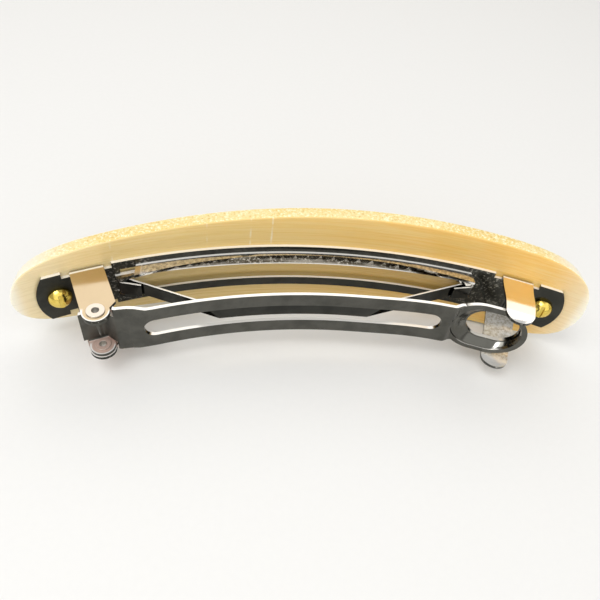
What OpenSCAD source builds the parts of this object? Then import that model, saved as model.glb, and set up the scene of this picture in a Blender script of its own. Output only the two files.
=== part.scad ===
// French barrette: a curved acetate plate on a stamped spring clip.
// The clip's hollow side faces -Y, the decorative side faces +Y, and Z runs
// across the clip. The plate stands on its lower long edge at Z = 0.

/* [Clip sheet] */
// Width of the stamped clip, edge to edge
clip_w = 10; // [9:0.5:14]
// Length of the base plate along its curve
clip_len = 99.2; // [92:0.2:125]
// Radius of the base plate's hollow side
base_r = 109; // [90:1:150]
// Thickness of the stamped sheet
sheet_t = 0.6; // [0.4:0.05:0.8]
// Inside radius of every folded ear and prong
bend_r = 0.4; // [0.3:0.05:0.6]
// How far the base plate's ends bulge past their corners
end_bulge = 1.4; // [1:0.1:2.2]

/* [Base window] */
// Height of the long window in the base plate
window_h = 6.4; // [4:0.2:7]
// Distance from the base plate's hinge end to the window
window_hinge_inset = 14.2; // [14:0.1:18]
// Distance from the base plate's clasp end to the window
window_clasp_inset = 18.6; // [16:0.1:22]
// Depth of the stiffening lip on the window's upper edge, at mid length
lip_depth = 1.0; // [0.6:0.1:1.5]
// Radius of that lip's front edge, which makes it deeper towards its ends
lip_r = 80; // [70:1:90]
// How far the front of that lip is turned down at mid length
lip_turn = 1.6; // [0.8:0.1:1.7]
// Radius of the turned-down front's lower edge, which fades it out towards its ends
lip_sweep_r = 245; // [200:5:400]
// Depth of the lip on the window's lower edge
low_lip_depth = 0.65; // [0.4:0.05:1]
// How far the front of the lower lip is turned up
low_lip_turn = 0.8; // [0.3:0.1:1.2]

/* [Hinge] */
// Distance from the base plate's end to the hinge pivots, along the curve
hinge_inset = 8.3; // [8:0.1:10]
// Height of the pivots above the base plate
hinge_rise = 10; // [9:0.1:12]
// Radius of the ears' rounded tips
ear_tip_r = 2.2; // [2:0.05:2.4]
// How far the ears reach past the pivots on the side of the window
ear_heel = 3.4; // [2.8:0.1:3.8]
// Outside radius of the hollow rivets
rivet_r = 0.9; // [0.8:0.05:1.1]
// Bore radius of the hollow rivets
rivet_bore_r = 0.6; // [0.4:0.05:0.6]
// Radius of the rivets' outer heads
rivet_head_r = 1.5; // [1.4:0.05:1.8]
// Thickness of the rivets' heads
rivet_head_t = 0.25; // [0.2:0.05:0.4]

/* [Clasp arm] */
// Gap from the base plate to the arm's front face, at mid length
arm_rise = 12.1; // [11.9:0.1:14]
// The same gap beside the loop
arm_end_rise = 11.3; // [11:0.1:13]
// The same gap under the tongue between the ears
tongue_rise = 8.4; // [8.1:0.1:8.6]
// The same gap at the loop
loop_rise = 10.3; // [9.5:0.1:10.8]
// Width of the arm
arm_w = 9.4; // [8:0.1:9.8]
// Width of the shoulder beside the hinge
shoulder_w = 10.2; // [9.8:0.1:10.6]
// Width of the long slot in the arm
slot_w = 3.9; // [2.5:0.1:5]
// Outside width of the loop at the free end
loop_w = 11.8; // [10.4:0.1:12]
// Width of the loop's opening
loop_hole_w = 6.8; // [5:0.1:7.4]
// How far the rim of that opening is pressed back towards the base plate
dish_depth = 1.5; // [0.8:0.1:2]
// Radius of the arm's own ears
lug_r = 2.05; // [1.9:0.05:2.2]

/* [Clasp prongs] */
// Distance from the base plate's end to the middle of the prongs
prong_inset = 10; // [9.8:0.1:12]
// Width of a prong at its root
prong_w = 5.7; // [4.5:0.1:6]
// Radius of a prong's rounded tip
prong_tip_r = 2.5; // [2:0.1:2.6]
// Height of the prongs' tips above the base plate
prong_rise = 13; // [12.7:0.1:14]
// Share of a prong's height over which it leans out
prong_lean = 0.75; // [0.5:0.05:0.78]
// Height of the rolled-in tip of a prong
prong_roll = 1.6; // [1:0.1:2]
// Free space on each side between the loop and a prong
prong_clear = 0.25; // [0.2:0.05:0.5]

/* [Tension bar] */
// Width of the tension strip
bar_w = 2.9; // [2:0.1:3.6]
// Thickness of the tension strip
bar_t = 0.4; // [0.3:0.05:0.45]
// Distance from the base plate's hinge end to the middle of the nearer curl
bar_hinge_inset = 14.5; // [14.3:0.1:18]
// Distance from the base plate's clasp end to the middle of the nearer curl
bar_clasp_inset = 18.2; // [16:0.1:22]
// Radius of the curls, to the middle of the strip
curl_r = 0.65; // [0.55:0.05:0.9]
// Length of the tail that is folded back after each curl
tail_len = 3.4; // [2.5:0.1:4]
// Where the crest begins, before mid length
crest_start = 19; // [14:0.5:22]
// Where the crest ends, past mid length
crest_end = 12; // [8:0.5:14]
// Gap between the crest and the arm's back
crest_gap = 0.35; // [0.3:0.05:0.6]

/* [Screws] */
// Distance from the base plate's end to a screw
screw_inset = 3.7; // [3.4:0.05:4]
// Radius of a screw's shank
screw_r = 0.9; // [0.7:0.05:1]
// Radius of a screw's head
screw_head_r = 2.05; // [1.8:0.05:2.2]
// Height of a screw's head
screw_head_h = 1.9; // [1.2:0.1:2.1]
// How deep a screw goes into the plate
screw_grip = 1.9; // [1.2:0.1:2]

/* [Face plate] */
// Length of the acetate plate, tip to tip
plate_len = 103.4; // [103:0.2:130]
// Height of the plate at mid length
plate_h = 21.5; // [18:0.1:30]
// Height that the long edges lose towards the tips, on each side
plate_taper = 2.5; // [1:0.1:4]
// How much wider the clasp half of the plate is than the hinge half, as a share
plate_skew = 0.15; // [0:0.01:0.2]
// Thickness of the plate
plate_t = 3; // [2.4:0.1:4]
// How far the clip sits below the plate's middle line
clip_drop = 1; // [0:0.1:2.5]

/* [Hidden] */
$fn = 64;

far = 60;                // longer than any cut has to be
curve_fn = 360;          // facets of the big curves
run_gap = 0.05;          // radial play of the arm's ears on the rivets
side_gap = 0.1;          // side play of the arm between the base's ears
hole_play = 0.1;         // play of a screw in the base plate
thread_play = 0.02;      // play that stands for the thread's fit
relief = 1.4;            // width of the notches beside each fold
fold_lap = 0.2;          // how far a fold reaches into the flat sheet on its two sides
lap_skin = 0.1;          // sheet left over that reach, on the outside of the fold
wall_t = 0.8 * sheet_t;  // thickness of the lips' turned fronts, thinned by pressing
fold = bend_r + sheet_t; // outside radius of a fold

half_len = clip_len / 2;
half_w = clip_w / 2;
back_r = base_r + sheet_t;
hinge_s = hinge_inset - half_len;
prong_s = half_len - prong_inset;
screw_s = half_len - screw_inset;
window_s0 = window_hinge_inset - half_len;
window_s1 = half_len - window_clasp_inset;
bar_s0 = bar_hinge_inset - half_len;
bar_s1 = half_len - bar_clasp_inset;

// A point at arc length s along the base plate and a height above it
function on_plan(s, rise) = let (a = s / base_r * 180 / PI)
    [(base_r - rise) * sin(a), (base_r - rise) * cos(a) - base_r];

hinge_xy = on_plan(hinge_s, hinge_rise);
prong_tip_xy = on_plan(prong_s, prong_rise - prong_tip_r);
front_y = min(hinge_xy.y - ear_tip_r, prong_tip_xy.y - prong_tip_r);
back_y = sheet_t + plate_t;
mid_y = (front_y + back_y) / 2;

plate_power = 16;        // the higher it is, the squarer the plate's ends are

// Half the plate's height at a share u of its half length
function plate_half(u) = (plate_h / 2 - plate_taper * u * u) * (1 + plate_skew * u)
    * sqrt(1 - pow(abs(u), plate_power));

plate_steps = 52;
plate_edge = [for (i = [0:plate_steps]) let (u = sin(180 * i / plate_steps - 90))
    [u * plate_len / 2, plate_half(u)]];
plate_low = max([for (p = plate_edge) p.y]);
clip_z = plate_low - clip_drop;

// Inner side faces of the base's ears, and of the arm's own ears
ear_in = half_w - sheet_t;
lug_out = ear_in - side_gap;
prong_in = loop_w / 2 + prong_clear;

// ---- shared helpers -------------------------------------------------------

// Moves a child from the clip's own frame to the part's frame
module in_place() translate([0, -mid_y, clip_z]) children();

// Moves a child to arc length s, with Y along the base plate's normal there
module on_curve(s)
    translate([0, -base_r, 0]) rotate(-s / base_r * 180 / PI)
        translate([0, base_r, 0]) children();

// Draws a child twice, above and below the clip's middle plane
module both_edges() {
    children();
    mirror([0, 0, 1]) children();
}

// Extrudes an outline in X and Z right through the part
module through() translate([0, far / 2, 0]) rotate([90, 0, 0])
    linear_extrude(far) children();

// A curved slab between two radii about the base plate's centre
module slab(r_in, r_out, h) translate([0, -base_r, 0]) difference() {
    cylinder(r = r_out, h = h, center = true, $fn = curve_fn);
    cylinder(r = r_in, h = h + 1, center = true, $fn = curve_fn);
}

function unit(v) = v / norm(v);
function tangent(p, i) = unit(p[min(i + 1, len(p) - 1)] - p[max(i - 1, 0)]);
function normal(p, i) = let (t = tangent(p, i)) [-t.y, t.x];

// The closed outline of a strip of thickness t about the middle line p
function strip(p, t) = concat(
    [for (i = [0:len(p) - 1]) p[i] - normal(p, i) * t / 2],
    [for (i = [len(p) - 1:-1:0]) p[i] + normal(p, i) * t / 2]);

// A smooth step from 0 to 1
function ease(x) = (1 - cos(180 * min(max(x, 0), 1))) / 2;

// The value at s of a line that eases from each [s, value] key to the next
function eased(keys, s, i = 0) =
    i >= len(keys) - 2 || s <= keys[i + 1][0]
        ? let (a = keys[i], b = keys[i + 1])
            a[1] + (b[1] - a[1]) * ease((s - a[0]) / (b[0] - a[0]))
        : eased(keys, s, i + 1);

// A quarter ring along X that turns the sheet from the base into an ear
module fold_strip(x0, x1) translate([x0, -bend_r, half_w - fold])
    rotate([90, 0, 90]) linear_extrude(x1 - x0) {
        intersection() {
            difference() {
                circle(fold);
                circle(bend_r);
            }
            square(2 * fold);
        }
        translate([bend_r, -fold_lap]) square([sheet_t - lap_skin, fold_lap]);
        translate([-fold_lap, bend_r]) square([fold_lap, sheet_t - lap_skin]);
    }

// ---- face plate -----------------------------------------------------------

module plate_outline() polygon(concat(
    plate_edge, [for (i = [plate_steps - 1:-1:1]) [plate_edge[i].x, -plate_edge[i].y]]));

module face_plate() color("wheat") in_place() difference() {
    intersection() {
        slab(back_r, back_r + plate_t, 2 * plate_h);
        translate([0, 0, clip_drop]) through() plate_outline();
    }
    for (s = [-screw_s, screw_s])
        on_curve(s) rotate([-90, 0, 0]) cylinder(r = screw_r + thread_play, h = sheet_t + screw_grip);
}

// ---- base plate -----------------------------------------------------------

end_xy = on_plan(half_len, 0);
end_r = (half_w * half_w + end_bulge * end_bulge) / (2 * end_bulge);

module base_outline() for (side = [0, 1]) mirror([side, 0]) intersection() {
    translate([0, -half_w]) square([far, clip_w]);
    union() {
        translate([end_xy.x - end_r, 0]) circle(end_r, $fn = curve_fn);
        translate([0, -half_w]) square([end_xy.x - end_r, clip_w]);
    }
}

// A band about the middle line, between two arc lengths
module window_band(s0, s1, h) let (x0 = on_plan(s0, 0).x, x1 = on_plan(s1, 0).x)
    translate([x0, -h / 2]) square([x1 - x0, h]);

// The strips of edge that are cut away beside and under a fold
module fold_notch(x0, x1) both_edges()
    translate([x0 - relief, -far / 4, half_w - fold]) cube([x1 - x0 + 2 * relief, far / 2, far]);

module base_sheet() difference() {
    intersection() {
        slab(base_r, back_r, clip_w);
        through() base_outline();
    }
    through() window_band(window_s0, window_s1, window_h);
    on_curve(hinge_s) fold_notch(-ear_tip_r, ear_heel);
    on_curve(prong_s) fold_notch(-prong_w / 2, prong_w / 2);
    for (s = [-screw_s, screw_s]) on_curve(s) rotate([90, 0, 0])
        cylinder(r = screw_r + hole_play, h = 4 * sheet_t, center = true);
}

heel_top = 1;            // how far the ears' wide part ends short of the pivots

// Outline of one hinge ear, with the fold at Y = 0
module ear_outline() difference() {
    union() {
        translate([0, -hinge_rise]) circle(ear_tip_r);
        translate([-ear_tip_r, -hinge_rise]) square([2 * ear_tip_r, hinge_rise - bend_r]);
        polygon([[0, -bend_r], [0, -hinge_rise], [ear_tip_r, -hinge_rise],
                 [ear_heel, heel_top - hinge_rise], [ear_heel, -bend_r]]);
    }
    translate([0, -hinge_rise]) circle(rivet_r);
}

module hinge_ears() on_curve(hinge_s) both_edges() {
    translate([0, 0, ear_in]) linear_extrude(sheet_t) ear_outline();
    fold_strip(-ear_tip_r, ear_heel);
}

roll_depth = 0.2;        // how far a prong's tip rolls in
prong_top = prong_rise + 0.4;
prong_step = 0.6;

// Side profile of a prong: it leans out past the loop and its tip rolls in
prong_keys = [[bend_r, ear_in], [prong_rise * prong_lean, prong_in],
              [prong_rise - prong_roll, prong_in], [prong_top, prong_in - roll_depth]];
prong_line = [for (y = [bend_r:prong_step:prong_top]) [-y, eased(prong_keys, y) + sheet_t / 2]];

module prong_outline() {
    translate([0, prong_tip_r - prong_rise]) circle(prong_tip_r);
    polygon([[-prong_w / 2, 0], [prong_w / 2, 0],
             [prong_tip_r, prong_tip_r - prong_rise], [-prong_tip_r, prong_tip_r - prong_rise]]);
}

module clasp_prongs() on_curve(prong_s) both_edges() {
    intersection() {
        rotate([90, 0, 90]) linear_extrude(far, center = true) polygon(strip(prong_line, sheet_t));
        linear_extrude(far) prong_outline();
    }
    fold_strip(-prong_w / 2, prong_w / 2);
}

lip_start = 3;           // how far from the window's hinge end the upper lip starts
turn_inset = 2;          // how far the turned-down front stays inside the lip's ends
low_lip_inset = 1;       // how far the lower lip stays inside the window's ends

// Plan of the space behind the front edge of the window's upper lip, or of a
// skin of that thickness round it
module behind_lip(skin) translate([0, -lip_r - lip_depth])
    circle(lip_r + skin, $fn = curve_fn);

// The shelf of the window's upper lip, deeper towards both ends
module lip_shelf() translate([0, 0, window_h / 2]) linear_extrude(sheet_t) difference() {
    intersection() {
        translate([0, -base_r]) circle(base_r + sheet_t / 2, $fn = curve_fn);
        window_band(window_s0 + lip_start, window_s1, far);
    }
    behind_lip(0);
}

// The front of that lip, turned down along an arc that meets the shelf at both ends
module lip_front() intersection() {
    translate([0, 0, window_h / 2 - lip_turn]) linear_extrude(lip_turn + sheet_t / 2) difference() {
        intersection() {
            behind_lip(wall_t);
            window_band(window_s0 + lip_start + turn_inset, window_s1 - turn_inset, far);
        }
        behind_lip(0);
    }
    through() translate([0, window_h / 2 - lip_turn + lip_sweep_r])
        circle(lip_sweep_r, $fn = curve_fn);
}

// The lip on the window's lower edge, with its front turned up
module lower_lip() intersection() {
    union() {
        translate([0, 0, -window_h / 2 - sheet_t / 2])
            slab(base_r - low_lip_depth, base_r + sheet_t / 2, sheet_t);
        translate([0, 0, (low_lip_turn - sheet_t - window_h) / 2])
            slab(base_r - low_lip_depth, base_r - low_lip_depth + wall_t, sheet_t + low_lip_turn);
    }
    through() window_band(window_s0 + low_lip_inset, window_s1 - low_lip_inset, far);
}

lug_gap = 0.15;          // gap between a lug and the tension strip's edge

// Outline of a lug beside a curl, from the curl's middle and from the base plate
bar_lug_outline = [[-3.2, 0.3], [-2.9, -0.5], [-0.2, -1.6], [0.7, -1.2], [0.9, 0.3]];

// Low lugs that stand above and below each curl and keep it in place
module bar_lugs() for (side = [0, 1]) mirror([side, 0, 0])
    on_curve(side == 0 ? window_s1 : -window_s0) both_edges()
        translate([0, 0, bar_w / 2 + lug_gap]) linear_extrude(sheet_t) polygon(bar_lug_outline);

module base_plate() color("silver") in_place() {
    base_sheet();
    hinge_ears();
    clasp_prongs();
    lip_shelf();
    lip_front();
    lower_lip();
    bar_lugs();
}

// ---- clasp arm ------------------------------------------------------------

// Places along the arm, as arc lengths over the base plate
tongue_s0 = hinge_s - 3;       // end of the tongue past the pivots
tongue_s1 = hinge_s + 0.9;     // where the ramp to the shoulder starts
shoulder_s = hinge_s + 2.7;    // start of the shoulder
ramp_s = shoulder_s + 0.6;     // end of the steep part of the ramp
crown_s0 = shoulder_s + 6.5;   // start of the arm's even stretch
crown_s1 = 8;                  // end of that stretch, past mid length
neck_s = shoulder_s + 3.6;     // where the shoulder starts to narrow
waist_s = shoulder_s + 5.6;    // where it has narrowed to the arm's width
loop_s0 = prong_s - 12.2;      // start of the joggle to the loop
loop_s1 = prong_s + 3.8;       // tip of the loop
joggle = 2.2;                  // length of that joggle
ramp_drop = 1.2;               // how much the steep part of the ramp ends below the arm

// Height of the arm's front face above the base plate, along the curve
arm_keys = [
    [tongue_s0, tongue_rise], [tongue_s1, tongue_rise],
    [ramp_s, arm_rise - ramp_drop], [crown_s0, arm_rise], [crown_s1, arm_rise],
    [loop_s0, arm_end_rise], [loop_s0 + joggle, loop_rise], [loop_s1 + 1, loop_rise]
];

fine = 0.3;              // spacing of the profile's points where it bends
coarse = 1.5;            // their spacing elsewhere
arm_stations = concat(
    [for (s = [tongue_s0:fine:shoulder_s + 1]) s],
    [for (s = [shoulder_s + 1 + coarse:coarse:loop_s0]) s],
    [for (s = [loop_s0 + fine:fine:loop_s0 + joggle]) s],
    [for (s = [loop_s0 + joggle + coarse / 2:coarse:loop_s1]) s],
    [loop_s1]);
arm_line = [for (s = arm_stations) on_plan(s, eased(arm_keys, s) - sheet_t / 2)];

function arm_x(s) = on_plan(s, eased(arm_keys, s)).x;

loop_r = loop_w / 2;
loop_x0 = arm_x(loop_s0) + loop_r;
loop_x1 = arm_x(loop_s1) - loop_r;
loop_mid_s = (loop_s0 + loop_s1) / 2;
loop_half = (loop_s1 - loop_s0) / 2 * (1 - loop_rise / base_r);
flange = 0.9;            // flat border round the loop's dish
hole_r = loop_hole_w / 2;
hole_half = 4.8;         // half length of the loop's opening
hole_shift = 1.2;        // how far the opening sits towards the tip
dish_wall = 0.75;        // dish wall, measured square to the loop
dish_rim = 0.3;          // width of the rim round the opening
dish_sink = 0.1;         // how far the dish starts behind the loop's front face
slot_start = 4.9;        // from the shoulder's start to the slot
slot_end = 1.2;          // from the slot to the joggle

// A slot with round ends, between two X positions of its end circles
module round_slot(x0, x1, r) {
    for (x = [x0, x1]) translate([x, 0]) circle(r);
    translate([x0, -r]) square([x1 - x0, 2 * r]);
}

// Half of the shoulder's outline, from the tongue to the loop
shoulder_edge = [[arm_x(shoulder_s), shoulder_w / 2], [arm_x(neck_s), shoulder_w / 2],
                 [arm_x(waist_s), arm_w / 2], [loop_x0, arm_w / 2]];

module arm_outline() difference() {
    union() {
        translate([arm_x(tongue_s0), fold - lug_out])
            square([arm_x(shoulder_s) - arm_x(tongue_s0) + 1, 2 * (lug_out - fold)]);
        polygon(concat(shoulder_edge, [for (i = [3:-1:0]) [shoulder_edge[i].x, -shoulder_edge[i].y]]));
        round_slot(loop_x0, loop_x1, loop_r);
    }
    round_slot(arm_x(shoulder_s + slot_start) + slot_w / 2,
               arm_x(loop_s0 - slot_end) - slot_w / 2, slot_w / 2);
    round_slot(loop_x0, loop_x1, loop_r - flange);
}

// A thick slice with round ends at a depth behind the loop's front face
module dish_slice(depth, shift, half, r, h = 0.02)
    translate([0, depth + h, 0]) rotate([90, 0, 0]) linear_extrude(h)
        round_slot(shift - half + r, shift + half - r, r);

module dish_body() hull() {
    dish_slice(dish_sink, 0, loop_half - flange / 2, loop_r - flange / 2);
    dish_slice(dish_depth + sheet_t, hole_shift, hole_half + dish_rim, hole_r + dish_rim);
}

// The pressed dish whose wall runs back from the loop's border to the opening
module loop_dish() on_curve(loop_mid_s) translate([0, -loop_rise, 0]) difference() {
    dish_body();
    translate([0, -dish_wall, 0]) dish_body();
    dish_slice(-1, hole_shift, hole_half, hole_r, far / 10);
}

// One of the arm's own ears, folded forward from the tongue
module arm_lug() on_curve(hinge_s) difference() {
    union() {
        translate([0, 0, lug_out - sheet_t]) linear_extrude(sheet_t) {
            translate([0, -hinge_rise]) circle(lug_r);
            translate([-lug_r, -hinge_rise]) square([2 * lug_r, hinge_rise - tongue_rise - bend_r]);
        }
        translate([0, -tongue_rise, lug_out - half_w]) fold_strip(-lug_r, lug_r);
    }
    translate([0, -hinge_rise, 0]) cylinder(r = rivet_r + run_gap, h = clip_w);
}

module clasp_arm() color("silver") in_place() {
    intersection() {
        linear_extrude(far, center = true) polygon(strip(arm_line, sheet_t));
        through() arm_outline();
    }
    loop_dish();
    both_edges() arm_lug();
}

// ---- tension bar ----------------------------------------------------------

crest_rise = arm_rise - sheet_t - crest_gap - bar_t / 2;

curl_turn = 200;         // angle that the strip turns through in a curl
curl_steps = 12;
crest_step = 1.5;        // spacing of the crest's points

// Points of one curl, from where its leg meets it. side is -1 at the hinge
// end and 1 at the clasp end, and the leg comes from the crest at crest_s.
function bar_curl(side, curl_s, crest_s) = let (
    c = on_plan(curl_s, curl_r + bar_t / 2),
    e = on_plan(crest_s, crest_rise),
    to_c = c - e,
    lean = atan2(to_c.y, to_c.x * side),
    heading = lean + asin(curl_r / norm(to_c))
) [for (k = [0:curl_steps]) let (a = heading + 90 - curl_turn * k / curl_steps)
    c + curl_r * [side * cos(a), sin(a)]];

hinge_curl = bar_curl(-1, bar_s0, -crest_start);
clasp_curl = bar_curl(1, bar_s1, crest_end);

function tail_end(curl) = let (n = len(curl) - 1)
    curl[n] + tail_len * unit(curl[n] - curl[n - 1]);

function reversed(p) = [for (i = [len(p) - 1:-1:0]) p[i]];

bar_line = concat(
    [tail_end(hinge_curl)], reversed(hinge_curl),
    [for (s = [-crest_start:crest_step:crest_end]) on_plan(s, crest_rise)],
    clasp_curl, [tail_end(clasp_curl)]);

module tension_bar() color("gainsboro") in_place()
    linear_extrude(bar_w, center = true) polygon(strip(bar_line, bar_t));

// ---- hinge rivets ---------------------------------------------------------

inner_head_cut = 0.2;    // how much smaller a rivet's inner head is

// A hollow rivet, drawn above the middle plane
module rivet() translate([hinge_xy.x, hinge_xy.y, 0]) {
    inner = lug_out - sheet_t - side_gap / 2;
    difference() {
        union() {
            translate([0, 0, inner - rivet_head_t])
                cylinder(r = rivet_head_r - inner_head_cut, h = rivet_head_t);
            translate([0, 0, inner]) cylinder(r = rivet_r, h = half_w - inner);
            translate([0, 0, half_w]) cylinder(r = rivet_head_r, h = rivet_head_t);
        }
        cylinder(r = rivet_bore_r, h = 2 * clip_w);
    }
}

module hinge_rivet_upper() color("silver") in_place() rivet();
module hinge_rivet_lower() color("silver") in_place() mirror([0, 0, 1]) rivet();

// ---- screws ---------------------------------------------------------------

head_rim = 0.45;         // height of the straight rim under a screw head's dome
dome_h = screw_head_h - head_rim;
dome_r = (screw_head_r * screw_head_r + dome_h * dome_h) / (2 * dome_h);
driver_w = 0.7;          // width of the driver slot
driver_depth = 0.6;
tip_gap = 0.1;           // gap between a shank's end and the bottom of its hole

// How far the base plate's curve lifts the rim of a screw's flat-bottomed head
head_clear = 0.005;
head_lift = screw_head_r * screw_head_r / (2 * base_r) + head_clear;

// A slotted screw whose head stands on the base plate, shank along +Y
module screw() translate([0, -head_lift, 0]) rotate([-90, 0, 0]) {
    cylinder(r = screw_r, h = sheet_t + screw_grip - tip_gap);
    difference() {
        intersection() {
            translate([0, 0, -screw_head_h]) cylinder(r = screw_head_r, h = screw_head_h);
            translate([0, 0, dome_r - screw_head_h]) sphere(dome_r);
        }
        translate([-driver_w / 2, -far / 2, -far - screw_head_h + driver_depth])
            cube([driver_w, far, far]);
    }
}

module screw_hinge_end() color("gold") in_place() on_curve(-screw_s) screw();
module screw_clasp_end() color("gold") in_place() on_curve(screw_s) screw();

face_plate();
base_plate();
clasp_arm();
tension_bar();
hinge_rivet_upper();
hinge_rivet_lower();
screw_hinge_end();
screw_clasp_end();
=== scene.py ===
"""The looks of the barrette: acetate plate, nickel-plated clip, brass screws and a soft studio.

Lengths are in metres. The barrette's hollow side and its clip face -Y, and it stands on Z = 0.
"""
import math

import bmesh
import bpy
from mathutils import Matrix, Vector


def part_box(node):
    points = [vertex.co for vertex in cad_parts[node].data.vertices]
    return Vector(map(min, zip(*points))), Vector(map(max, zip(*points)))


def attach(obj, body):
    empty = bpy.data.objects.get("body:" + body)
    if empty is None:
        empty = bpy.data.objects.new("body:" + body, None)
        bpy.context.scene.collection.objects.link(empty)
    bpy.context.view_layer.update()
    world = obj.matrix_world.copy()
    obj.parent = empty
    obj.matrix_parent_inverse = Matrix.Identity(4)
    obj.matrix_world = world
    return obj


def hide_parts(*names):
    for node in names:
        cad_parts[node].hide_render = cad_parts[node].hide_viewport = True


MM = 0.001
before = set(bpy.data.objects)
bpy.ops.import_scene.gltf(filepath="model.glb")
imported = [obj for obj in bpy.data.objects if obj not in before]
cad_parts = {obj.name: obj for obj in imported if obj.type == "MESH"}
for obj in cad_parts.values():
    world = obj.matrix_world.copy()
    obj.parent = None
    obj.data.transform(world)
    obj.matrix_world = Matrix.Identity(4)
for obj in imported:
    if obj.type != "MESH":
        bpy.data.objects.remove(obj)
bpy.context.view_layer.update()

# ---- sizes repeated from the CAD part ---------------------------------------------------

BASE_R = 109 * MM          # radius of the base plate's hollow side
SHEET_T = 0.6 * MM
PLATE_T = 3 * MM
PLATE_LEN = 103.4 * MM
PLATE_H = 21.5 * MM
PLATE_TAPER = 2.5 * MM     # what each long edge comes in by at the ends
PLATE_SKEW = 0.15          # share of its height that it gains towards the clasp's end
PLATE_POWER = 16           # squareness of the plate's ends
CLIP_DROP = 1 * MM         # the clip's middle line below the plate's
HINGE_X = -36.62 * MM      # axis of the hinge rivets
HINGE_Y = -9.107 * MM
LIP_SWEEP_R = 245 * MM     # lower edge of the upper lip's turned-down front
LIP_LOW = 1.6 * MM         # that edge above the clip's middle, at mid length

plate_low, plate_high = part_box("face_plate")
BACK_R = BASE_R + SHEET_T                          # the plate's hollow face
ARC_Y = plate_high.y - BACK_R - PLATE_T            # centre of the barrette's curve
PLATE_Z = (plate_low.z + plate_high.z) / 2         # the plate's middle line
CLIP_Z = PLATE_Z - CLIP_DROP

# ---- colours ----------------------------------------------------------------------------

CREAM = (0.80, 0.60, 0.25)
AMBER = (0.82, 0.50, 0.12)
VEIN = (0.80, 0.62, 0.27)
STREAK = (0.86, 0.70, 0.38)
PALE_END_GLOW = (0.84, 0.73, 0.50)
TIP_GLOW = (0.95, 0.91, 0.80)
SCRATCH = (0.95, 0.90, 0.74)

SAWN_DEEP = (0.78, 0.59, 0.20)
SAWN_LIGHT = (0.83, 0.67, 0.30)
SAWN_SPECK = (0.96, 0.88, 0.62)
SAWN_PIT = (0.62, 0.40, 0.11)
SAWN_END_GLOW = (0.91, 0.86, 0.72)
SAWN_RIM_HIGHLIGHT = (0.97, 0.94, 0.84)

BASE_FACE_SHADE = (0.06, 0.06, 0.052)
ARM_FACE_SHADE = (0.115, 0.113, 0.10)
STRIP_FACE_SHADE = (0.05, 0.05, 0.045)
RIVET_FACE = (0.6, 0.57, 0.52)
EDGE_HIGHLIGHT = (0.95, 0.93, 0.88)
STRIP_EDGE_HIGHLIGHT = (0.93, 0.90, 0.84)
RIVET_EDGE_REFLECTION = (0.74, 0.66, 0.58)
EAR_TAN_REFLECTION = (0.60, 0.48, 0.32)
PRONG_REFLECTION = (0.95, 0.84, 0.66)
PRONG_TIP = (0.97, 0.96, 0.94)
PRONG_DULL = (0.62, 0.58, 0.50)
PRONG_BRIGHT = (0.97, 0.96, 0.92)
SHELF_DULL = (0.38, 0.36, 0.36)
SHELF_BRIGHT = (0.85, 0.83, 0.82)
LIP_DARK_REFLECTION = (0.10, 0.085, 0.06)
LIP_FROST = (0.80, 0.76, 0.68)
LIP_EDGE_HIGHLIGHT = (1.0, 0.98, 0.93)
WEB_FROST = (0.55, 0.53, 0.47)
LUG_PINK_REFLECTION = (0.62, 0.45, 0.38)
LUG_RIM_HIGHLIGHT = (0.97, 0.95, 0.92)

BRASS_BRIGHT = (0.84, 0.64, 0.15)
BRASS_TARNISH = (0.66, 0.47, 0.08)
FLOOR_DARK = (0.78, 0.78, 0.77)
FLOOR_LIGHT = (0.80, 0.80, 0.79)


# ---- node helpers -----------------------------------------------------------------------

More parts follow.
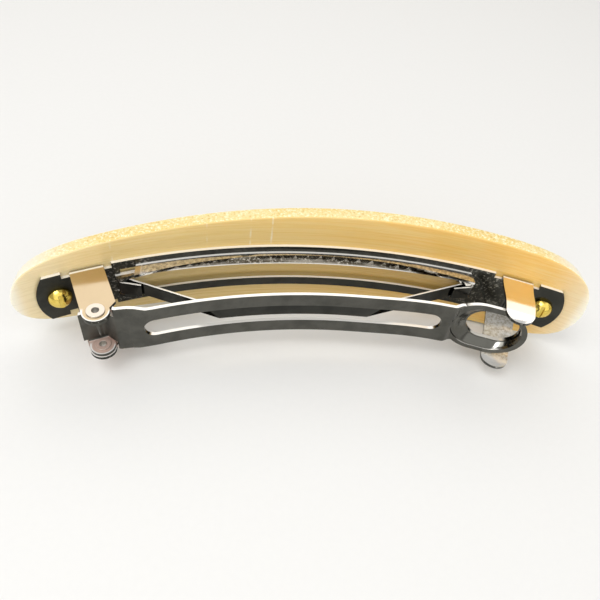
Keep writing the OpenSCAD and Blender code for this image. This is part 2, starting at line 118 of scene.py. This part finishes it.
class Nodes:
    """Builds one material's node tree, with short names for the nodes it uses."""

    def __init__(self, name):
        self.material = bpy.data.materials.new(name)
        self.material.use_nodes = True
        self.tree = self.material.node_tree
        self.shader = self.tree.nodes["Principled BSDF"]
        self.coords = self.tree.nodes.new("ShaderNodeTexCoord")

    def plug(self, value, socket):
        if isinstance(value, bpy.types.NodeSocket):
            self.tree.links.new(value, socket)
        else:
            socket.default_value = value

    def math(self, operation, a, b=0.0):
        node = self.tree.nodes.new("ShaderNodeMath")
        node.operation = operation
        self.plug(a, node.inputs[0])
        self.plug(b, node.inputs[1])
        return node.outputs[0]

    def absolute(self, value):
        return self.math("ABSOLUTE", value)

    def product(self, value, *others):
        for other in others:
            value = self.math("MULTIPLY", value, other)
        return value

    def hypot(self, a, b):
        square = self.math("ADD", self.math("MULTIPLY", a, a), self.math("MULTIPLY", b, b))
        return self.math("SQRT", square)

    def axes(self, output="Object"):
        """X, Y and Z of the place on the object, or of its normal if output is "Normal"."""
        node = self.tree.nodes.new("ShaderNodeSeparateXYZ")
        self.plug(self.coords.outputs[output], node.inputs[0])
        return node.outputs[0], node.outputs[1], node.outputs[2]

    def radius(self, x, y):
        """Distance of a place from the axis of the barrette's curve."""
        return self.hypot(x, self.math("SUBTRACT", y, ARC_Y))

    def noise(self, scale, detail=3.0, roughness=0.5, distortion=0.0):
        """Noise over the object; scale is one number, or one for each axis."""
        place = self.tree.nodes.new("ShaderNodeMapping")
        self.plug(self.coords.outputs["Object"], place.inputs["Vector"])
        place.inputs["Scale"].default_value = scale if isinstance(scale, tuple) else (scale,) * 3
        node = self.tree.nodes.new("ShaderNodeTexNoise")
        self.plug(place.outputs[0], node.inputs["Vector"])
        node.inputs["Scale"].default_value = 1.0
        node.inputs["Detail"].default_value = detail
        node.inputs["Roughness"].default_value = roughness
        node.inputs["Distortion"].default_value = distortion
        return node.outputs[0]

    def fade(self, value, low, high, to_low=0.0, to_high=1.0):
        """A smooth step from to_low at low to to_high at high."""
        node = self.tree.nodes.new("ShaderNodeMapRange")
        node.interpolation_type = "SMOOTHSTEP"
        for socket, number in zip(node.inputs[:5], (value, low, high, to_low, to_high)):
            self.plug(number, socket)
        return node.outputs[0]

    def mix(self, factor, a, b):
        node = self.tree.nodes.new("ShaderNodeMix")
        node.data_type = "RGBA"
        self.plug(factor, node.inputs["Factor"])
        self.plug((*a, 1) if isinstance(a, tuple) else a, node.inputs[6])
        self.plug((*b, 1) if isinstance(b, tuple) else b, node.inputs[7])
        return node.outputs[2]

    def bump(self, height, strength, distance):
        node = self.tree.nodes.new("ShaderNodeBump")
        node.inputs["Strength"].default_value = strength
        node.inputs["Distance"].default_value = distance
        self.plug(height, node.inputs["Height"])
        self.plug(node.outputs[0], self.shader.inputs["Normal"])

    def set(self, **sockets):
        """Sets the shader's sockets, with _ for a space in their names."""
        for name, value in sockets.items():
            self.plug(value, self.shader.inputs[name.replace("_", " ")])


# ---- acetate ----------------------------------------------------------------------------

ACETATE_IOR = 1.49
SCRATCHES = ((-35.7, 0.5), (-19.6, 0.25), (-11.8, 0.5), (-7.9, 0.6))   # x in mm, strength
SCRATCH_HALF = 0.22 * MM    # half a scratch's width


def acetate():
    """Cream acetate that turns amber towards the clasp, streaked along its length."""
    n = Nodes("acetate")
    x, y, z = n.axes()
    across = n.math("DIVIDE", x, PLATE_LEN / 2)
    broad = n.noise((18, 40, 90), detail=2.0, distortion=0.4)
    fine = n.noise((30, 400, 2600), detail=4.0, roughness=0.6)
    veins = n.noise((60, 200, 700), distortion=0.6)
    warmth = n.fade(n.math("ADD", across, n.math("MULTIPLY", broad, 0.8)), -0.45, 1.25)
    colour = n.mix(warmth, CREAM, AMBER)
    colour = n.mix(n.fade(veins, 0.46, 0.68, 0.0, 0.3), colour, VEIN)
    colour = n.mix(n.fade(fine, 0.45, 0.75, 0.0, 0.25), colour, STREAK)
    # painted glow: the ends, and the very tips most, are painted paler where light comes through
    colour = n.mix(glowing_ends(n, across), colour, PALE_END_GLOW)
    colour = n.mix(n.fade(n.absolute(across), 0.955, 0.995, 0.0, 0.8), colour, TIP_GLOW)
    colour = n.mix(cross_scratches(n, x, y, z), colour, SCRATCH)
    n.set(Base_Color=colour, Roughness=n.fade(fine, 0.3, 0.7, 0.22, 0.34), IOR=ACETATE_IOR)
    n.set(Subsurface_Weight=0.25, Subsurface_Scale=1.2 * MM, Subsurface_Radius=(1.0, 0.75, 0.4))
    n.set(Coat_Weight=0.25, Coat_Roughness=0.12)
    n.bump(fine, strength=0.12, distance=0.05 * MM)
    return n.material


def glowing_ends(n, across):
    """Painted glow where the plate's ends let light through, and more of its left end than of its
    right.
    """
    both = n.fade(n.absolute(across), 0.82, 1.0, 0.0, 0.8)
    left = n.fade(across, -0.55, -1.0, 0.0, 0.6)
    return n.math("MAXIMUM", both, left)


def cross_scratches(n, x, y, z):
    """Faint pale scratches across the upper part of the plate's hollow face."""
    broken = n.fade(n.noise((200, 200, 500), detail=2.0), 0.35, 0.6)
    hollow = n.fade(n.radius(x, y), BACK_R + 1.2 * MM, BACK_R + 0.8 * MM)
    high = n.fade(z, CLIP_Z + 3 * MM, CLIP_Z + 7 * MM)
    total = 0.0
    for place, strength in SCRATCHES:
        off = n.absolute(n.math("SUBTRACT", x, place * MM))
        total = n.math("ADD", n.fade(off, SCRATCH_HALF, 0.05 * MM, 0.0, strength), total)
    return n.product(total, broken, high, hollow)


def sawn_acetate():
    """The same acetate on its cut edge: frosted, yellower and speckled, with painted glow towards its
    ends and a painted highlight along the rim by its outer face.
    """
    n = Nodes("sawn_acetate")
    x, y, _ = n.axes()
    across = n.math("DIVIDE", x, PLATE_LEN / 2)
    speckle = n.noise(2200, roughness=0.7)
    cloud = n.noise((60, 200, 200), detail=2.0)
    colour = n.mix(n.fade(cloud, 0.35, 0.65), SAWN_DEEP, SAWN_LIGHT)
    colour = n.mix(n.fade(speckle, 0.48, 0.66), colour, SAWN_SPECK)
    colour = n.mix(n.fade(speckle, 0.42, 0.30), colour, SAWN_PIT)
    # painted glow towards the plate's ends
    colour = n.mix(n.fade(n.absolute(across), 0.78, 0.98), colour, SAWN_END_GLOW)
    # painted highlight: a pale line along the rim next to the outer face
    outer_r = BACK_R + PLATE_T
    rim = n.fade(n.radius(x, y), outer_r - 0.55 * MM, outer_r - 0.2 * MM)
    colour = n.mix(rim, colour, SAWN_RIM_HIGHLIGHT)
    n.set(Base_Color=colour, Roughness=n.fade(speckle, 0.3, 0.7, 0.35, 0.55), IOR=ACETATE_IOR)
    n.set(Subsurface_Weight=0.35, Subsurface_Scale=1.5 * MM, Subsurface_Radius=(1.0, 0.8, 0.5))
    n.bump(speckle, strength=0.35, distance=0.06 * MM)
    return n.material


# ---- nickel -----------------------------------------------------------------------------

NICKEL_ROUGH = 0.12
CLOUD_SHADE = 0.72          # how much darker the sheet's faces are in their clouds
FROST_METAL = 0.3           # how metallic the frosted places, the lower lug's painted reflection and the lugs' painted rim highlight still are
WINDOW_END = 30.6 * MM      # past the window's lips, where only ears and prongs stand out
WEB_X = 33 * MM             # the sheet beside each end of the window
TONGUE_X = -31.5 * MM       # the arm's tongue at the hinge, from here to the end
TONGUE_DULLING = 0.35
LUG_X = -33.6 * MM          # the hinge's lugs, from here to the end
LOWER_Z = CLIP_Z - 2 * MM   # the lower ear, lug and prong are all below this
TIP_DEPTH = 10.2 * MM       # a prong's rounded tip, from the base sheet's hollow side


def nickel(name, face, edge, stands=False, frost=1.0, rim_r=1.85 * MM):
    """Nickel with painted light: its sheet faces are painted dark as painted shade, and its cut edges
    bright as a painted highlight.

    stands is for the base, whose ears, prongs and window lips stand out of the sheet. frost
    makes the cut edges matt. rim_r is the radius round the hinge where the lugs' rim begins.
    """
    n = Nodes(name)
    x, y, z = n.axes()
    normal_z = n.axes("Normal")[2]
    cut = n.fade(n.absolute(normal_z), 0.75, 0.93)     # whatever faces up or down
    cloud = n.noise(260, roughness=0.6)
    pits = n.noise(1800, detail=4.0, roughness=0.75)
    dark = n.mix(n.fade(cloud, 0.35, 0.7), face, tuple(c * CLOUD_SHADE for c in face))
    if stands:
        dark, edge, frosty = base_metal(n, (x, y, z), cut, pits, dark, edge)
    else:
        frosty = n.math("MULTIPLY", cut, frost)
    # painted reflection: the lower lug and its rivet painted pinkish
    worn = lug_reflection(n, x, z, cut)
    # painted highlight: the white rim of the hinge ears' tips
    rim = lug_rim_highlight(n, x, y, cut, rim_r)
    # painted light: faces take the face colour, painted shade, and faces up or down the edge colour,
    # a painted highlight
    colour = n.mix(cut, dark, edge)
    colour = n.mix(worn, colour, LUG_PINK_REFLECTION)
    colour = n.mix(rim, colour, LUG_RIM_HIGHLIGHT)
    dull = n.math("MAXIMUM", n.math("MAXIMUM", worn, rim), frosty)
    roughness = nickel_roughness(n, x, cut, cloud, pits)
    n.set(Base_Color=colour, Roughness=roughness, Metallic=n.fade(dull, 0.0, 1.0, 1.0, FROST_METAL))
    grain = n.noise((200, 200, 4200), roughness=0.6)
    height = n.math("ADD", n.math("MULTIPLY", grain, 0.4), pits)
    n.bump(height, strength=0.06, distance=0.02 * MM)
    return n.material


def nickel_roughness(n, x, cut, cloud, pits):
    """Cloudy and pitted all over, and duller on the faces of the hinge end's tongue."""
    cloudy = n.fade(cloud, 0.3, 0.75, NICKEL_ROUGH, NICKEL_ROUGH + 0.1)
    pitted = n.fade(pits, 0.55, 0.8, 0.0, 0.12)
    tongue = n.fade(x, TONGUE_X, TONGUE_X - 1 * MM, 0.0, TONGUE_DULLING)
    tongue_face = n.math("SUBTRACT", tongue, n.math("MULTIPLY", cut, TONGUE_DULLING))
    total = n.math("ADD", cloudy, pitted)
    return n.math("ADD", total, n.math("MAXIMUM", tongue_face, 0.0))


def base_metal(n, place, cut, pits, face, edge):
    """The base's face colour in painted shade, its edge colour of painted highlight, and where it is
    frosty.
    """
    x, y, z = place
    proud = n.fade(n.math("SUBTRACT", BASE_R, n.radius(x, y)), 0.3 * MM, 0.6 * MM)
    past_window = n.fade(n.absolute(x), WINDOW_END, WINDOW_END + 0.6 * MM)
    standing = n.math("MULTIPLY", proud, past_window)
    lips = n.math("SUBTRACT", proud, standing)
    shelf = n.math("MULTIPLY", lips, n.fade(z, CLIP_Z + 2 * MM, CLIP_Z + 3 * MM))
    worn_shelf = n.mix(n.fade(pits, 0.35, 0.65), SHELF_DULL, SHELF_BRIGHT)
    edge = n.mix(shelf, edge, worn_shelf)
    edge = n.mix(standing, edge, standing_colour(n, place, pits))
    face = mottled_lip(n, face, x, z, lips, pits)
    face = frosted_webs(n, face, x, pits)
    polished = n.math("MAXIMUM", standing, shelf)
    frosty = n.math("SUBTRACT", cut, n.math("MULTIPLY", cut, polished))
    silvery = n.product(lower_prong(n, x, z), standing, 0.6)
    return face, edge, n.math("MAXIMUM", frosty, silvery)


def clasp_end(n, x):
    """1 towards the clasp's end and 0 towards the hinge's."""
    return n.fade(x, 0.0, 10 * MM)


def lower_prong(n, x, z):
    """1 on whatever lies low at the clasp's end, which is the lower prong."""
    return n.math("MULTIPLY", n.fade(z, CLIP_Z, LOWER_Z), clasp_end(n, x))


def standing_colour(n, place, pits):
    """Ears are tinted tan and the upper prong a paler warm tint, a painted reflection of the amber
    plate; the upper prong has a silvery tip, the lower is mottled.
    """
    x, y, z = place
    depth = n.math("SUBTRACT", BASE_R, n.radius(x, y))
    clasp = clasp_end(n, x)
    tip = n.math("MULTIPLY", n.fade(depth, TIP_DEPTH, TIP_DEPTH + 0.7 * MM), clasp)
    mottle = n.mix(n.fade(pits, 0.4, 0.6), PRONG_DULL, PRONG_BRIGHT)
    # painted reflection of the amber plate on the ears and the upper prong
    colour = n.mix(clasp, EAR_TAN_REFLECTION, PRONG_REFLECTION)
    colour = n.mix(lower_prong(n, x, z), colour, mottle)
    return n.mix(tip, colour, PRONG_TIP)


def lug_rim_highlight(n, x, y, cut, rim_r):
    """A painted highlight on the rounded rim of the hinge ears' tips, from a radius round the hinge
    outwards.
    """
    dy = n.math("SUBTRACT", y, HINGE_Y)
    off_axis = n.hypot(n.math("SUBTRACT", x, HINGE_X), dy)
    far = n.fade(off_axis, rim_r - 0.1 * MM, rim_r + 0.1 * MM)
    tip = n.fade(dy, 0.6 * MM, -0.3 * MM)
    here = n.fade(x, HINGE_X + 4 * MM, HINGE_X + 3 * MM)
    return n.product(far, tip, here, cut)


def lug_reflection(n, x, z, cut):
    """Where the lower hinge lug and its rivet are painted pinkish and made less metallic, a painted
    reflection of the amber plate.
    """
    hinge = n.fade(x, LUG_X, LUG_X - 0.6 * MM)
    low = n.fade(z, LOWER_Z, LOWER_Z - 1 * MM)
    return n.product(hinge, low, cut)


def mottled_lip(n, colour, x, z, lips, pits):
    """The turned-down front of the upper lip: a dark painted reflection with frosty wear speckles,
    and a broken painted highlight along its lower edge.
    """
    lip = n.math("MULTIPLY", n.fade(z, CLIP_Z + 1.3 * MM, CLIP_Z + 1.6 * MM), lips)
    worn = n.fade(n.noise((120, 500, 900), detail=4.0, roughness=0.7), 0.4, 0.62)
    spots = n.math("MAXIMUM", n.fade(pits, 0.5, 0.66), n.math("MULTIPLY", worn, 0.45))
    # dark painted reflection, speckled with frosty wear
    lip_colour = n.mix(spots, LIP_DARK_REFLECTION, LIP_FROST)
    # painted highlight, broken at random, along the lip's lower edge
    sweep = n.math("DIVIDE", n.math("MULTIPLY", x, x), 2 * LIP_SWEEP_R)
    above_edge = n.math("SUBTRACT", n.math("SUBTRACT", z, sweep), CLIP_Z + LIP_LOW)
    near_edge = n.fade(above_edge, 0.3 * MM, 0.15 * MM)
    line = n.math("MULTIPLY", near_edge, n.fade(pits, 0.3, 0.45, 0.4, 1.0))
    return n.mix(lip, colour, n.mix(line, lip_colour, LIP_EDGE_HIGHLIGHT))


def frosted_webs(n, colour, x, pits):
    """Frosty speckles on the base plate beside both ends of its window."""
    off = n.absolute(n.math("SUBTRACT", n.absolute(x), WEB_X))
    patch = n.fade(off, 6 * MM, 2 * MM)
    spots = n.product(n.fade(pits, 0.52, 0.68), patch, 0.8)
    return n.mix(spots, colour, WEB_FROST)


# ---- brass and floor --------------------------------------------------------------------

def brass():
    """Polished yellow brass with a few tarnished clouds."""
    n = Nodes("brass")
    cloud = n.noise(700, roughness=0.6)
    turned = n.noise(2400, detail=2.0)
    colour = n.mix(n.fade(cloud, 0.35, 0.7), BRASS_BRIGHT, BRASS_TARNISH)
    n.set(Base_Color=colour, Roughness=n.fade(cloud, 0.3, 0.7, 0.12, 0.26), Metallic=1.0)
    n.bump(turned, strength=0.05, distance=0.02 * MM)
    return n.material


def floor_paint():
    """A plain pale floor with a very faint tooth."""
    n = Nodes("floor_paint")
    tooth = n.noise(900, detail=2.0)
    n.set(Base_Color=n.mix(tooth, FLOOR_DARK, FLOOR_LIGHT), Roughness=0.65)
    return n.material


# ---- pieces -----------------------------------------------------------------------------

OUTLINE_STEPS = 120        # along each of the plate's two long edges
ROUNDING_STEPS = 5         # round each of the rim's two corners
FACE_ROWS = 8              # across each of the plate's two faces
HOLLOW_ROUNDING = 0.35 * MM
OUTER_ROUNDING = 1.6 * HOLLOW_ROUNDING
POLISHED_BANDS = 3         # of the rim, next to the hollow face; the outer face has one fewer
SHARP_ANGLE = math.radians(32)
FLAT_ANGLE = math.radians(0.3)
WELD = 0.002 * MM          # corners closer than this are one corner


def add(name, bm, materials):
    """An object made from a bmesh, smooth shaded."""
    mesh = bpy.data.meshes.new(name)
    bm.to_mesh(mesh)
    bm.free()
    piece = bpy.data.objects.new(name, mesh)
    bpy.context.scene.collection.objects.link(piece)
    for material in materials:
        mesh.materials.append(material)
    mesh.shade_smooth()
    return piece


def on_arc(x, z, depth):
    """A point of the plate: x along its chord, z from its middle line, depth from its hollow face."""
    radius = BACK_R + depth
    return Vector((x, ARC_Y + math.sqrt(radius * radius - x * x), PLATE_Z + z))


def plate_half(u):
    """Half the plate's height at a share u of its half length, as in the CAD part."""
    side = PLATE_H / 2 - PLATE_TAPER * u * u
    return side * (1 + PLATE_SKEW * u) * math.sqrt(max(0.0, 1 - abs(u) ** PLATE_POWER))


def plate_outline():
    """The plate's outline as (x, z) points, anticlockwise from the hinge end's tip."""
    angles = [math.pi * k / OUTLINE_STEPS for k in range(OUTLINE_STEPS + 1)]
    lower = [(-math.cos(a), -1) for a in angles]
    upper = [(math.cos(a), 1) for a in angles[1:-1]]
    return [(u * PLATE_LEN / 2, side * plate_half(u)) for u, side in lower + upper]


def inward(points):
    """The unit normals of a closed anticlockwise outline, pointing inwards."""
    count = len(points)
    normals = []
    for k in range(count):
        (x0, z0), (x1, z1) = points[k - 1], points[(k + 1) % count]
        length = math.hypot(x1 - x0, z1 - z0)
        normals.append((-(z1 - z0) / length, (x1 - x0) / length))
    return normals


def rim_profile():
    """(inset, depth) pairs round the plate's edge, from the hollow face to the outer face."""
    near, far = HOLLOW_ROUNDING, OUTER_ROUNDING
    turn = [math.pi / 2 * k / ROUNDING_STEPS for k in range(ROUNDING_STEPS + 1)]
    hollow_side = [(near - near * math.sin(a), near - near * math.cos(a)) for a in turn]
    outer_side = [(far - far * math.cos(a), PLATE_T - far + far * math.sin(a)) for a in turn]
    return hollow_side + outer_side


def face_plate_piece():
    """The acetate plate, with its edges rounded over and its hollow and outer faces true arcs."""
    outline = plate_outline()
    normals = inward(outline)
    rim = rim_profile()
    bm = bmesh.new()
    rings = []
    for inset, depth in rim:
        rings.append([bm.verts.new(on_arc(x + nx * inset, z + nz * inset, depth))
                      for (x, z), (nx, nz) in zip(outline, normals)])
    count = len(outline)
    for level, (near, far) in enumerate(zip(rings, rings[1:])):
        sawn = POLISHED_BANDS <= level < len(rim) - POLISHED_BANDS
        for k in range(count):
            following = (k + 1) % count
            face = bm.faces.new((near[k], near[following], far[following], far[k]))
            face.material_index = 1 if sawn else 0
    close_face(bm, rings[0], 0.0, hollow=True)
    close_face(bm, rings[-1], PLATE_T, hollow=False)
    bmesh.ops.recalc_face_normals(bm, faces=bm.faces)
    return add("acetate_plate", bm, [acetate(), sawn_acetate()])


def close_face(bm, ring, depth, hollow):
    """Fills one face of the plate with columns that join the lower edge to the upper edge."""
    columns = [[ring[0]] * (FACE_ROWS + 1)]
    for k in range(1, OUTLINE_STEPS):
        low, high = ring[k], ring[-k]
        column = [low]
        for row in range(1, FACE_ROWS):
            x = low.co.x + (high.co.x - low.co.x) * row / FACE_ROWS
            z = low.co.z + (high.co.z - low.co.z) * row / FACE_ROWS
            column.append(bm.verts.new(on_arc(x, z - PLATE_Z, depth)))
        columns.append(column + [high])
    columns.append([ring[OUTLINE_STEPS]] * (FACE_ROWS + 1))
    for left, right in zip(columns, columns[1:]):
        for row in range(FACE_ROWS):
            corners = [left[row], right[row], right[row + 1], left[row + 1]]
            unique = [v for i, v in enumerate(corners) if v not in corners[:i]]
            bm.faces.new(unique if hollow else unique[::-1])


def rounded_copy(node, name, material, radius):
    """A CAD node's shape with its sharp edges rounded, to stand for the node."""
    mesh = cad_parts[node].data.copy()
    bm = bmesh.new()
    bm.from_mesh(mesh)
    bmesh.ops.remove_doubles(bm, verts=bm.verts, dist=WELD)
    bmesh.ops.dissolve_limit(bm, angle_limit=FLAT_ANGLE, verts=bm.verts, edges=bm.edges)
    piece = add(name, bm, [material])
    piece.data.set_sharp_from_angle(angle=SHARP_ANGLE)
    bevel = piece.modifiers.new("rounding", "BEVEL")
    bevel.width = radius
    bevel.segments = 2
    bevel.limit_method = "ANGLE"
    bevel.angle_limit = SHARP_ANGLE
    bevel.harden_normals = True
    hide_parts(node)
    return piece


CLIP_BODY = "clip_back"

plate = face_plate_piece()
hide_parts("face_plate")
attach(plate, CLIP_BODY)

# face colours are painted shade and edge colours painted highlight; the rivets' pinkish edge colour
# is a painted reflection of the amber plate
steel = nickel("nickel_clip", BASE_FACE_SHADE, EDGE_HIGHLIGHT, stands=True, rim_r=2.0 * MM)
arm_steel = nickel("nickel_arm", ARM_FACE_SHADE, EDGE_HIGHLIGHT)
strip_steel = nickel("nickel_strip", STRIP_FACE_SHADE, STRIP_EDGE_HIGHLIGHT)
rivet_steel = nickel("nickel_rivet", RIVET_FACE, RIVET_EDGE_REFLECTION, frost=0.0)
screw_brass = brass()

# CAD node, piece, material, radius of its rounded edges in mm, body it rides, slot
PIECES = [
    ("base_plate", "stamped_base", steel, 0.14, CLIP_BODY, "nickel_steel"),
    ("clasp_arm", "hinged_arm", arm_steel, 0.16, "arm", "nickel_steel"),
    ("tension_bar", "tension_strip", strip_steel, 0.10, CLIP_BODY, "spring_steel"),
    ("hinge_rivet_upper", "rivet_upper", rivet_steel, 0.06, CLIP_BODY, "rivet_steel"),
    ("hinge_rivet_lower", "rivet_lower", rivet_steel, 0.06, CLIP_BODY, "rivet_steel"),
    ("screw_hinge_end", "screw_left", screw_brass, 0.08, CLIP_BODY, "brass"),
    ("screw_clasp_end", "screw_right", screw_brass, 0.08, CLIP_BODY, "brass"),
]
for node, name, material, radius, body, slot in PIECES:
    piece = rounded_copy(node, name, material, radius * MM)
    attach(piece, body)


# ---- studio -----------------------------------------------------------------------------

FLOOR_SIZE = 4.0
MIDDLE = (0, 0, 12 * MM)   # what the lamps point at
AIR_WHITE = (1.0, 0.99, 0.97, 1)
WHITE = (1.0, 1.0, 1.0)
WARM = (1.0, 0.95, 0.88)


def plane(name, size, material):
    """A square on Z = 0."""
    bm = bmesh.new()
    bmesh.ops.create_grid(bm, x_segments=8, y_segments=8, size=size / 2)
    return add(name, bm, [material])


def softbox(name, location, size, watts, colour=WHITE):
    light = bpy.data.lights.new(name, "AREA")
    light.shape = "RECTANGLE"
    light.size, light.size_y = size
    light.energy = watts
    light.color = colour
    lamp = bpy.data.objects.new(name, light)
    lamp.location = location
    lamp.rotation_euler = (Vector(MIDDLE) - Vector(location)).to_track_quat("-Z", "Y").to_euler()
    bpy.context.scene.collection.objects.link(lamp)


def world_light(strength):
    world = bpy.data.worlds.new("studio_air")
    world.use_nodes = True
    background = world.node_tree.nodes["Background"]
    background.inputs["Color"].default_value = AIR_WHITE
    background.inputs["Strength"].default_value = strength
    bpy.context.scene.world = world


plane("floor", FLOOR_SIZE, floor_paint())
world_light(strength=0.5)
softbox("key", (-0.2, -0.1, 0.5), size=(0.3, 0.3), watts=1.1)
softbox("fill", (0.07, -0.42, 0.38), size=(1.2, 0.8), watts=2.6)
softbox("back", (0.06, 0.36, 0.40), size=(0.7, 0.35), watts=0.75, colour=WARM)
bpy.context.scene.view_settings.view_transform = "Standard"


# ---- camera -----------------------------------------------------------------------------

ELEVATION = math.radians(46.895)   # how far the view looks down
HEADING = math.radians(10.786)     # turn from +Y towards +X
ROLL = math.radians(9.228)
CAMERA_AT = (-15.656 * MM, -70.186 * MM, CLIP_Z + 75.135 * MM)
SENSOR_WIDTH = 36                  # in millimetres, as the focal length
FOCAL_LENGTH = 33.6
NEAREST = 5 * MM                   # nothing closer than this is drawn


def place_camera():
    """A camera without depth of field, turned about its own line of sight by ROLL."""
    data = bpy.data.cameras.new("camera")
    data.sensor_width = SENSOR_WIDTH
    data.lens = FOCAL_LENGTH
    data.clip_start = NEAREST
    camera = bpy.data.objects.new("camera", data)
    bpy.context.scene.collection.objects.link(camera)
    flat = math.cos(ELEVATION)
    ahead = Vector((math.sin(HEADING) * flat, math.cos(HEADING) * flat, -math.sin(ELEVATION)))
    level = ahead.cross(Vector((0, 0, 1))).normalized()
    over = level.cross(ahead)
    right = level * math.cos(ROLL) + over * math.sin(ROLL)
    up = right.cross(ahead)
    turn = Matrix((right, up, -ahead)).transposed()
    camera.matrix_world = Matrix.Translation(CAMERA_AT) @ turn.to_4x4()
    bpy.context.scene.camera = camera


place_camera()
